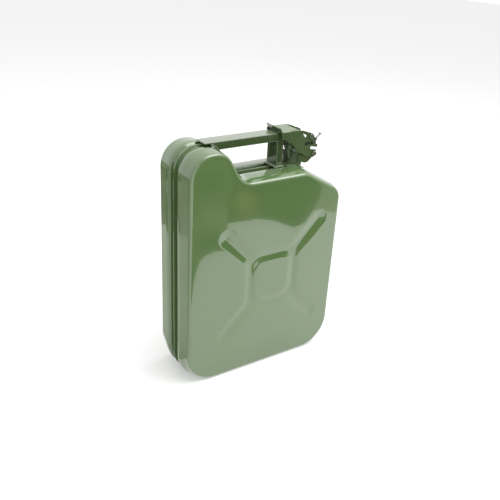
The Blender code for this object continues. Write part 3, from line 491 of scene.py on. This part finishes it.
# %% [markdown]
# ## The two half shells
# The real body is two steel trays, drawn in a press and welded along a flange.
# The flange stands in a narrow channel that runs round the can.
# We lay the outline of the can through a row of stations, from the flange to the front panel,
# and then fill the panel with a fine net of points that the pressed ribs can bend.
# The outline changes a little on the way: the bottom corners grow rounder and the saddle falls.

# %% Outline of the can
HALF_WIDTH = 122.5 * MM
HUMP_TOP = 336.0 * MM
SADDLE, SADDLE_FALL = 292.0 * MM, 2.2 * MM
SHOULDER, SHOULDER_FALL = 257.0 * MM, 2.5 * MM
CREST_X, SADDLE_END_X, HUMP_SIDE_X = 60.0 * MM, -41.8 * MM, -67.5 * MM
FOOT_RADIUS, FOOT_GROWTH = 34.0 * MM, 12.0 * MM
SHOULDER_RADIUS, CREST_RADIUS, SADDLE_RADIUS = 24.0 * MM, 32.0 * MM, 27.0 * MM
HUMP_INNER_RADIUS, HUMP_OUTER_RADIUS = 28.0 * MM, 35.0 * MM
ARC_STEPS = 22
SIDE_STEP = 3.0 * MM


def can_corners(level, drop):
    """Corners and radii of the outline; level and drop run from 0 at the seam to 1 at the panel."""
    saddle = SADDLE - SADDLE_FALL * drop
    crest = SADDLE - SHOULDER_FALL * drop
    shoulder = SHOULDER - SHOULDER_FALL * drop
    foot_radius = FOOT_RADIUS + FOOT_GROWTH * level
    return np.array([
        (-HALF_WIDTH, 0.0, foot_radius), (HALF_WIDTH, 0.0, foot_radius),
        (HALF_WIDTH, shoulder, SHOULDER_RADIUS), (CREST_X, crest, CREST_RADIUS),
        (SADDLE_END_X, saddle, SADDLE_RADIUS),
        (HUMP_SIDE_X, HUMP_TOP, HUMP_INNER_RADIUS), (-HALF_WIDTH, HUMP_TOP, HUMP_OUTER_RADIUS)])


def unit(vector):
    """The vector's direction."""
    return vector / np.linalg.norm(vector)


def arc_points(before, corner, after, radius, steps):
    """Points of the arc that rounds one corner."""
    a, b = unit(before - corner), unit(after - corner)
    opening = math.acos(a @ b)
    centre = corner + unit(a + b) * radius / math.sin(opening / 2)
    first = corner + a * radius / math.tan(opening / 2) - centre
    sweep = math.pi - opening
    if a[0] * b[1] - a[1] * b[0] > 0:
        sweep = -sweep
    turns = [sweep * k / steps for k in range(steps + 1)]
    return [centre + np.array((first[0] * math.cos(t) - first[1] * math.sin(t),
                               first[0] * math.sin(t) + first[1] * math.cos(t))) for t in turns]


def can_outline(inset, level, drop):
    """Closely spaced points of the outline, moved inwards by the inset."""
    corners = can_corners(level, drop)
    base = can_corners(0.0, 0.0)[:, :2]
    count = len(corners)
    places, radii = [], []
    for i in range(count):
        here = corners[i, :2]
        into = unit(here - corners[i - 1, :2])
        out = unit(corners[(i + 1) % count, :2] - here)
        turn = into[0] * out[1] - into[1] * out[0]
        normal_in = np.array((-into[1], into[0]))
        normal_out = np.array((-out[1], out[0]))
        places.append(here + (normal_in + normal_out) * inset / (1.0 + normal_in @ normal_out))
        radii.append(corners[i, 2] - math.copysign(inset, turn))
    arcs = [arc_points(places[i - 1], places[i], places[(i + 1) % count], radii[i], ARC_STEPS)
            for i in range(count)]
    points = []
    for i in range(count):
        points += arcs[i]
        last, following = arcs[i][-1], arcs[(i + 1) % count][0]
        pieces = max(1, int(np.linalg.norm(base[(i + 1) % count] - base[i]) / SIDE_STEP))
        points += [last + (following - last) * k / pieces for k in range(1, pieces)]
    return np.array(points)


print("outline has", len(can_outline(0.0, 0.0, 0.0)), "points")

# %% [markdown]
# ## The bent edge of a half shell
# The section through the edge of a half shell is a bent strip.
# It starts at the tip of the flange, goes down into the channel, rolls over the channel's lip,
# runs along the side wall and turns into the front panel.
# Rounding every bend of that strip gives the highlights their soft ends.
# Over the hump the channel grows shallow, because the handle's end is welded on there.

# %% Section of a half shell
SECTION = [(0.5, 1.15, 0.0), (7.0, 1.15, 1.0), (7.0, 9.2, 1.3), (0.45, 11.1, 1.5), (0.0, 15.0, 6.0),
           (0.0, 20.0, 8.0), (1.6, 41.0, 6.5), (9.6, 41.0, 0.0)]
BEND_STEPS = 7
STATION_STEP_MM = 2.0
FLANGE_TIP = 0.5 * MM
CHANNEL_END = 11.0 * MM
LEVEL_START, LEVEL_RUN = 18.0 * MM, 19.0 * MM
DROP_START, DROP_RUN = 29.0 * MM, 12.0 * MM
SHALLOW_START, SHALLOW_RUN, SHALLOW_X, SHALLOW_SHARE = 296.0 * MM, 36.0 * MM, -60.0 * MM, 0.62


def smooth_step(share):
    """A step from 0 to 1 with soft ends."""
    share = np.clip(share, 0.0, 1.0)
    return share * share * (3.0 - 2.0 * share)


def rounded_section(corners):
    """Round the bends (inset, distance, radius) of the section; returns insets and distances in metres."""
    points = []
    for i, (inset, distance, radius) in enumerate(corners):
        here = np.array((inset, distance))
        if radius == 0.0:
            points.append(here)
            continue
        a = np.array(corners[i - 1][:2]) - here
        b = np.array(corners[i + 1][:2]) - here
        la, lb = np.linalg.norm(a), np.linalg.norm(b)
        opening = math.acos(max(-1.0, min(1.0, (a @ b) / (la * lb))))
        tangent = min(radius / math.tan(opening / 2), 0.48 * la, 0.48 * lb)
        first, last = here + a / la * tangent, here + b / lb * tangent
        points += [first * (1 - t) ** 2 + here * 2 * t * (1 - t) + last * t ** 2
                   for t in (k / BEND_STEPS for k in range(BEND_STEPS + 1))]
    dense = [points[0]]
    for p in points[1:]:
        start = dense[-1]
        pieces = max(1, int(np.linalg.norm(p - start) / STATION_STEP_MM))
        dense += [start + (p - start) * k / pieces for k in range(1, pieces + 1)]
    return np.array(dense) * MM


def station_loop(inset, distance):
    """The outline at one station, with the channel made shallow over the hump."""
    level = smooth_step((distance - LEVEL_START) / LEVEL_RUN)
    drop = smooth_step((distance - DROP_START) / DROP_RUN)
    loop = can_outline(inset, level, drop)
    if distance < CHANNEL_END:
        tip = can_outline(FLANGE_TIP, level, drop)
        over_hump = smooth_step((tip[:, 1] - SHALLOW_START) / SHALLOW_RUN) * (tip[:, 0] < SHALLOW_X)
        loop = tip + (loop - tip) * (1.0 - SHALLOW_SHARE * over_hump)[:, None]
    return loop


section = rounded_section(SECTION)
print("section has", len(section), "stations")


# %% [markdown]
# ## The pressed cross
# The panels are stiffened by a cross of four troughs round a raised square.
# The press leaves soft walls, so the depth follows a smooth step across each wall.
# We measure how far each point lies inside the outline of the cross, and turn that into depth.
# That is easier than modelling the walls as faces, and it keeps the highlights free of creases.

# %% Distance to an outline
def signed_distance(points, loop):
    """Distance of points to a closed outline, negative inside it."""
    best = np.full(len(points), 1e9)
    inside = np.zeros(len(points), dtype=bool)
    for start, end in zip(loop, np.roll(loop, -1, axis=0)):
        edge = end - start
        rel = points - start
        share = np.clip((rel @ edge) / max(edge @ edge, 1e-18), 0.0, 1.0)
        gap = rel - share[:, None] * edge
        best = np.minimum(best, np.einsum('ij,ij->i', gap, gap))
        crosses = (start[1] > points[:, 1]) != (end[1] > points[:, 1])
        side = start[0] + (points[:, 1] - start[1]) * edge[0] / (edge[1] if edge[1] else 1e-12)
        inside ^= crosses & (points[:, 0] < side)
    return np.where(inside, -1.0, 1.0) * np.sqrt(best)


seam_outline = can_outline(0.0, 0.0, 0.0)
print("saddle lies", signed_distance(np.array([(0.0, SADDLE)]), seam_outline).round(5), "from the outline")

# %% The cross and the square
CROSS_CENTRE = np.array((10.8, 141.7)) * MM
PRESS_DEPTH = 1.75 * MM
ARM_REACH, ARM_HALF = 119.8 * MM, 13.6 * MM
RING_HALF = np.array((47.3, 48.1)) * MM
SQUARE_TOP_HALF = np.array((25.2, 26.0)) * MM
WALL_RUN = 12.6 * MM
RING_RADIUS, END_RADIUS, SQUARE_RADIUS = 14.0 * MM, 13.2 * MM, 10.0 * MM
LOOP_STEPS = 8
LOW_START, LOW_RUN, LOW_SHARE = 12.0 * MM, 20.0 * MM, 0.14
WAVE_HEIGHT = 0.06 * MM
WAVES = [(27.0, 61.0, 0.0, 1.0), (-71.0, 33.0, 1.3, 1.0), (17.0, 23.0, 0.0, 0.5)]


def round_loop(corners):
    """Round the corners (x, z, radius) of a closed outline."""
    places = [np.array(corner[:2]) for corner in corners]
    count = len(corners)
    points = []
    for i in range(count):
        points += arc_points(places[i - 1], places[i], places[(i + 1) % count], corners[i][2], LOOP_STEPS)
    return np.array(points)


def cross_loop():
    """Outline of the troughs: a ring with four arms."""
    along = np.array((math.sqrt(0.5), math.sqrt(0.5)))
    across = np.array((-along[1], along[0]))
    side = along * ((RING_HALF[0] + across[0] * ARM_HALF) / along[0]) - across * ARM_HALF
    top = along * ((RING_HALF[1] - across[1] * ARM_HALF) / along[1]) + across * ARM_HALF
    low_end = along * ARM_REACH - across * ARM_HALF
    high_end = along * ARM_REACH + across * ARM_HALF
    quarter = [(side, RING_RADIUS), (low_end, END_RADIUS), (high_end, END_RADIUS), (top, RING_RADIUS)]
    corners = []
    for sx, sz, order in ((1, 1, 1), (-1, 1, -1), (-1, -1, 1), (1, -1, -1)):
        for point, radius in quarter[::order]:
            corners.append((CROSS_CENTRE[0] + sx * point[0], CROSS_CENTRE[1] + sz * point[1], radius))
    return round_loop(corners)


def square_loop():
    """Upper edge of the raised square at the middle of the cross."""
    return round_loop([(CROSS_CENTRE[0] + sx * SQUARE_TOP_HALF[0], CROSS_CENTRE[1] + sz * SQUARE_TOP_HALF[1],
                        SQUARE_RADIUS) for sx, sz in ((-1, -1), (1, -1), (1, 1), (-1, 1))])


def press_depth(points):
    """Depth of the pressing at points of the panel; the lower arms are a little shallower."""
    trough = smooth_step(-signed_distance(points, cross_loop()) / WALL_RUN)
    square = smooth_step(signed_distance(points, square_loop()) / WALL_RUN)
    low = smooth_step((CROSS_CENTRE[1] - points[:, 1] - LOW_START) / LOW_RUN)
    return PRESS_DEPTH * trough * square * (1.0 - LOW_SHARE * low)


def panel_waves(points):
    """The slow unevenness of a drawn steel panel, up to 0.3 mm deep."""
    x, z = points[:, 0] / MM, points[:, 1] / MM
    waves = sum(share * np.sin(x / x_run + z / z_run + phase) for x_run, z_run, phase, share in WAVES)
    return WAVE_HEIGHT * (2.5 + waves)


print("deepest beside the square:", press_depth(np.array([CROSS_CENTRE + (36 * MM, 0.0)])).round(5))

# %% [markdown]
# ## Building a half shell
# The stations become rings of points, and neighbouring rings are joined by faces.
# The panel inside the last ring gets an even net of points, which a triangulation joins to the ring.
# A triangulation fits any outline, where a grid would leave ragged edges.
# The sheet is then given its thickness and opened for the neck.

# %% Build the half shells
NET_SPACING = 2.0 * MM
RIM_RUN = 25.0 * MM
SHEET = 0.9 * MM
NECK_TILT = math.radians(15.0)
NECK_FOOT = Vector((CREST_X, 0.0, SADDLE - 1.0 * MM))
NECK_AXIS = Vector((math.sin(NECK_TILT), 0.0, math.cos(NECK_TILT)))
BORE_RADIUS, BORE_LOW, BORE_HIGH = 14.3 * MM, -14.0 * MM, 22.0 * MM


def panel_points(border):
    """A net of evenly spread points inside the border."""
    low, high = border.min(axis=0), border.max(axis=0)
    rise = NET_SPACING * math.sqrt(0.75)
    rows = int((high[1] - low[1]) / rise)
    grid = np.array([(x, low[1] + r * rise) for r in range(1, rows)
                     for x in np.arange(low[0] + (r % 2) * NET_SPACING / 2, high[0], NET_SPACING)])
    return grid[signed_distance(grid, border) < -NET_SPACING * 0.55]


def half_shell(name, side):
    """A half shell with its pressed panel; side is -1 at the front and +1 at the rear."""
    data = bmesh.new()
    loops = [station_loop(inset, distance) for inset, distance in section]
    rings = [[data.verts.new((x, side * distance, z)) for x, z in loop]
             for loop, (inset, distance) in zip(loops, section)]
    for first, second in zip(rings, rings[1:]):
        for i in range(len(first)):
            j = (i + 1) % len(first)
            data.faces.new((first[i], first[j], second[j], second[i]))
    border = loops[-1]
    everything = np.vstack([border, panel_points(border)])
    edges = [(i, (i + 1) % len(border)) for i in range(len(border))]
    outcome = delaunay_2d_cdt([Vector(p) for p in everything], edges, [], 1, 1e-8)
    placed = np.array([tuple(p) for p in outcome[0]])
    rim = smooth_step(-signed_distance(placed, border) / RIM_RUN)
    inward = press_depth(placed) + rim * panel_waves(placed)
    flat = section[-1][1]
    known = {}
    for i, origin in enumerate(outcome[3]):
        if origin and origin[0] < len(border):
            known[i] = rings[-1][origin[0]]
        else:
            known[i] = data.verts.new((placed[i, 0], side * (flat - inward[i]), placed[i, 1]))
    for face in outcome[2]:
        data.faces.new([known[i] for i in face])
    bmesh.ops.recalc_face_normals(data, faces=data.faces)
    data.normal_update()
    outward = max(data.faces, key=lambda face: abs(face.calc_center_median().y))
    if outward.normal.y * side < 0:
        bmesh.ops.reverse_faces(data, faces=data.faces)
    return piece_from_bmesh(name, data)


def neck_cutter():
    """A cylinder along the neck that opens the shells."""
    data = bmesh.new()
    bmesh.ops.create_cone(data, cap_ends=True, segments=64, radius1=BORE_RADIUS, radius2=BORE_RADIUS,
                          depth=BORE_HIGH - BORE_LOW)
    turn = NECK_AXIS.to_track_quat('Z', 'Y').to_matrix().to_4x4()
    middle = NECK_FOOT + NECK_AXIS * (BORE_LOW + BORE_HIGH) / 2
    bmesh.ops.transform(data, matrix=Matrix.Translation(middle) @ turn, verts=data.verts)
    return piece_from_bmesh("neck_opening", data)


for name, side, slot in (("front_panel", -1, "front_shell"), ("rear_panel", 1, "rear_shell")):
    shell = half_shell(name, side)
    sheet = shell.modifiers.new("sheet", 'SOLIDIFY')
    sheet.thickness = SHEET
    sheet.offset = -1.0
    cut_away(shell, neck_cutter())
    finish_piece(shell, "can", body_enamel, (slot,))

# %% [markdown]
# ## Softened CAD pieces
# Pressed and sawn steel never has a knife edge: paint and tumbling round it.
# A bevel along every sharp edge gives the small bright lines that make metal look real.
# We copy each CAD piece, join its flat triangles into whole faces and bevel the copy's edges.

# %% Soften an edge, cut a slot, turn down a pin
SHARP_ANGLE, FLAT_ANGLE = math.radians(35.0), math.radians(1.5)
SAME_PLACE = 1e-6
SLOT_STEPS, SLOT_REACH = 24, 30.0 * MM
PIN_X, PIN_Z, WAIST_SHARE, WAIST_HALF = 77.97 * MM, 331.01 * MM, 0.6, 11.0 * MM


def softened(slot, width):
    """A copy of a CAD piece with its sharp edges bevelled."""
    data = bmesh.new()
    data.from_mesh(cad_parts[slot].data)
    bmesh.ops.remove_doubles(data, verts=data.verts, dist=SAME_PLACE)
    bmesh.ops.dissolve_limit(data, angle_limit=FLAT_ANGLE, verts=data.verts, edges=data.edges)
    sharp = [e for e in data.edges if e.is_manifold and e.calc_face_angle(0.0) > SHARP_ANGLE]
    bmesh.ops.bevel(data, geom=sharp, offset=width, offset_type='OFFSET', segments=2, profile=0.6,
                    affect='EDGES', clamp_overlap=True)
    return piece_from_bmesh(slot + "_soft", data)


def slot_cutter(x, z, half_length, half_height, angle):
    """A rounded slot through both cheeks, at a place and a slope seen from the front."""
    data = bmesh.new()
    rim = []
    for k in range(SLOT_STEPS):
        t = 2 * math.pi * k / SLOT_STEPS
        u = math.copysign(half_length - half_height, math.cos(t)) + half_height * math.cos(t)
        w = half_height * math.sin(t)
        rim.append((x + u * math.cos(angle) - w * math.sin(angle),
                    z + u * math.sin(angle) + w * math.cos(angle)))
    low = [data.verts.new((px, -SLOT_REACH, pz)) for px, pz in rim]
    high = [data.verts.new((px, SLOT_REACH, pz)) for px, pz in rim]
    data.faces.new(low)
    data.faces.new(high[::-1])
    for i in range(SLOT_STEPS):
        j = (i + 1) % SLOT_STEPS
        data.faces.new((low[j], low[i], high[i], high[j]))
    bmesh.ops.recalc_face_normals(data, faces=data.faces)
    return piece_from_bmesh("slot_cutter", data)


def narrow_middle(piece):
    """Turn down the middle of the lever's pin, as on a shouldered rivet."""
    data = bmesh.new()
    data.from_mesh(piece.data)
    for y in (-WAIST_HALF - MM, -WAIST_HALF, WAIST_HALF, WAIST_HALF + MM):
        bmesh.ops.bisect_plane(data, geom=data.verts[:] + data.edges[:] + data.faces[:],
                               plane_co=(0.0, y, 0.0), plane_no=(0.0, 1.0, 0.0))
    for point in data.verts:
        if abs(point.co.y) < WAIST_HALF + 0.1 * MM:
            point.co.x = PIN_X + (point.co.x - PIN_X) * WAIST_SHARE
            point.co.z = PIN_Z + (point.co.z - PIN_Z) * WAIST_SHARE
    data.to_mesh(piece.data)
    data.free()


print("CAD pieces to choose from:", len(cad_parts))

# %% [markdown]
# ## The handle and the closure
# The table says for each piece on which body it rides, which finish it has and how wide its bevel is.
# The lever's cheeks have a slot at the top and two open notches on the side of the hooks.
# Weighted normals let the large faces set the shading, so that flat steel looks flat.
# The pin of the lever is turned down in the middle, where the bridge holds it.

# %% Soften the handle and the closure
SOFTENED = {
    "handle": ("can", "handle", 0.35), "handle_foot": ("can", "body", 0.4),
    "neck_skirt": ("can", "body", 0.3), "filler_neck": ("can", "neck", 0.25),
    "mouth_collar": ("can", "closure", 0.3),
    "hinge_bracket": ("can", "neck", 0.25), "catch_bracket": ("can", "closure", 0.25),
    "hinge_pin": ("can", "closure", 0.2), "catch_pin": ("can", "pin", 0.2),
    "breather_pipe": ("can", "pin", 0.2), "catch_roller": ("roller", "pin", 0.2),
    "cap": ("cap_group", "closure", 0.3), "gasket": ("cap_group", "rubber", 0.3),
    "cap_stud": ("cap_group", "pin", 0.25), "cap_bridge": ("cap_group", "neck", 0.25),
    "tie_barrel": ("cap_group", "closure", 0.2),
    "clamp_lever": ("lever", "closure", 0.3), "lever_pin": ("lever", "pin", 0.2),
    "locking_pin": ("lock", "bright", 0.15)}
SLOTS = {
    "clamp_lever": [(65.4, 334.0, 4.8, 2.0, -30.0), (80.5, 321.4, 13.5, 2.6, 0.0),
                    (84.0, 313.8, 6.5, 1.9, -12.0)],
    "cap_bridge": [(68.6, 332.2, 5.0, 2.3, -30.0)]}

for slot, (body, finish, width) in SOFTENED.items():
    piece = softened(slot, width * MM)
    if slot == "lever_pin":
        narrow_middle(piece)
    for x, z, half_length, half_height, slope in SLOTS.get(slot, []):
        cut_away(piece, slot_cutter(x * MM, z * MM, half_length * MM, half_height * MM, math.radians(slope)))
    finish_piece(piece, body, FINISH[finish], (slot,))
    piece.modifiers.new("even", 'WEIGHTED_NORMAL').keep_sharp = True


# %% [markdown]
# ## Weld beads
# The handle's end and the foot of its post are welded on by hand.
# A weld bead is a row of small frozen ripples, a little uneven, and painted over with the can.
# We sweep a small circle along the joint and let its radius swell and shrink.

# %% Sweep the weld beads
BEAD_STEP = 0.45 * MM
BEAD_RIPPLE = 1.3 * MM
BEAD_SIDES = 8
BEAD_SMOOTH = 60.0
END_SHARE = 0.35
TILTED = Vector((0.31, 0.17, 0.93))


def weld_bead(name, material, route, radius, closed=False):
    """A rippled bead along a route of points."""
    route = [Vector(p) for p in route]
    if closed:
        route.append(route[0])
    points = [route[0]]
    for p in route[1:]:
        start = points[-1]
        pieces = max(1, round((p - start).length / BEAD_STEP))
        points += [start.lerp(p, k / pieces) for k in range(1, pieces + 1)]
    if closed:
        points.pop()
    data = bmesh.new()
    rings = []
    travelled = 0.0
    for i, p in enumerate(points):
        before, after = points[i - 1], points[(i + 1) % len(points)]
        if not closed:
            before, after = points[max(i - 1, 0)], points[min(i + 1, len(points) - 1)]
        travelled += (p - points[i - 1]).length if i else 0.0
        direction = (after - before).normalized()
        across = direction.cross(TILTED).normalized()
        above = direction.cross(across)
        swell = 0.82 + 0.18 * abs(math.sin(math.pi * travelled / BEAD_RIPPLE))
        swell += 0.10 * math.sin(travelled * 900.0)
        if not closed and i in (0, len(points) - 1):
            swell *= END_SHARE
        rings.append([data.verts.new(p + (across * math.cos(t) + above * math.sin(t)) * radius * swell)
                      for t in (2 * math.pi * k / BEAD_SIDES for k in range(BEAD_SIDES))])
    pairs = list(zip(rings, rings[1:])) + ([(rings[-1], rings[0])] if closed else [])
    for first, second in pairs:
        for i in range(BEAD_SIDES):
            j = (i + 1) % BEAD_SIDES
            data.faces.new((first[i], first[j], second[j], second[i]))
    if not closed:
        data.faces.new(rings[0][::-1])
        data.faces.new(rings[-1])
    bmesh.ops.recalc_face_normals(data, faces=data.faces)
    finish_piece(piece_from_bmesh(name, data), "can", material, smooth=BEAD_SMOOTH)


POST_LEFT, POST_RIGHT, POST_HALF = 26.0 * MM, 36.4 * MM, 11.9 * MM
FOOT_TOP = SADDLE + 1.9 * MM
POST_BEAD, HANDLE_BEAD = 0.75 * MM, 1.5 * MM
HANDLE_BEAD_Y = 11.2 * MM
HANDLE_BEAD_ROUTE = [(-76.0, 336.7), (-72.6, 335.7), (-68.9, 333.2), (-65.4, 329.9), (-63.0, 327.4)]
weld_bead("post_weld", body_enamel,
          [(POST_LEFT, -POST_HALF, FOOT_TOP), (POST_RIGHT, -POST_HALF, FOOT_TOP),
           (POST_RIGHT, POST_HALF, FOOT_TOP), (POST_LEFT, POST_HALF, FOOT_TOP)], POST_BEAD, closed=True)
for side, word in ((-1, "front"), (1, "rear")):
    weld_bead("handle_weld_" + word, handle_enamel,
              [(x * MM, side * HANDLE_BEAD_Y, z * MM) for x, z in HANDLE_BEAD_ROUTE], HANDLE_BEAD)
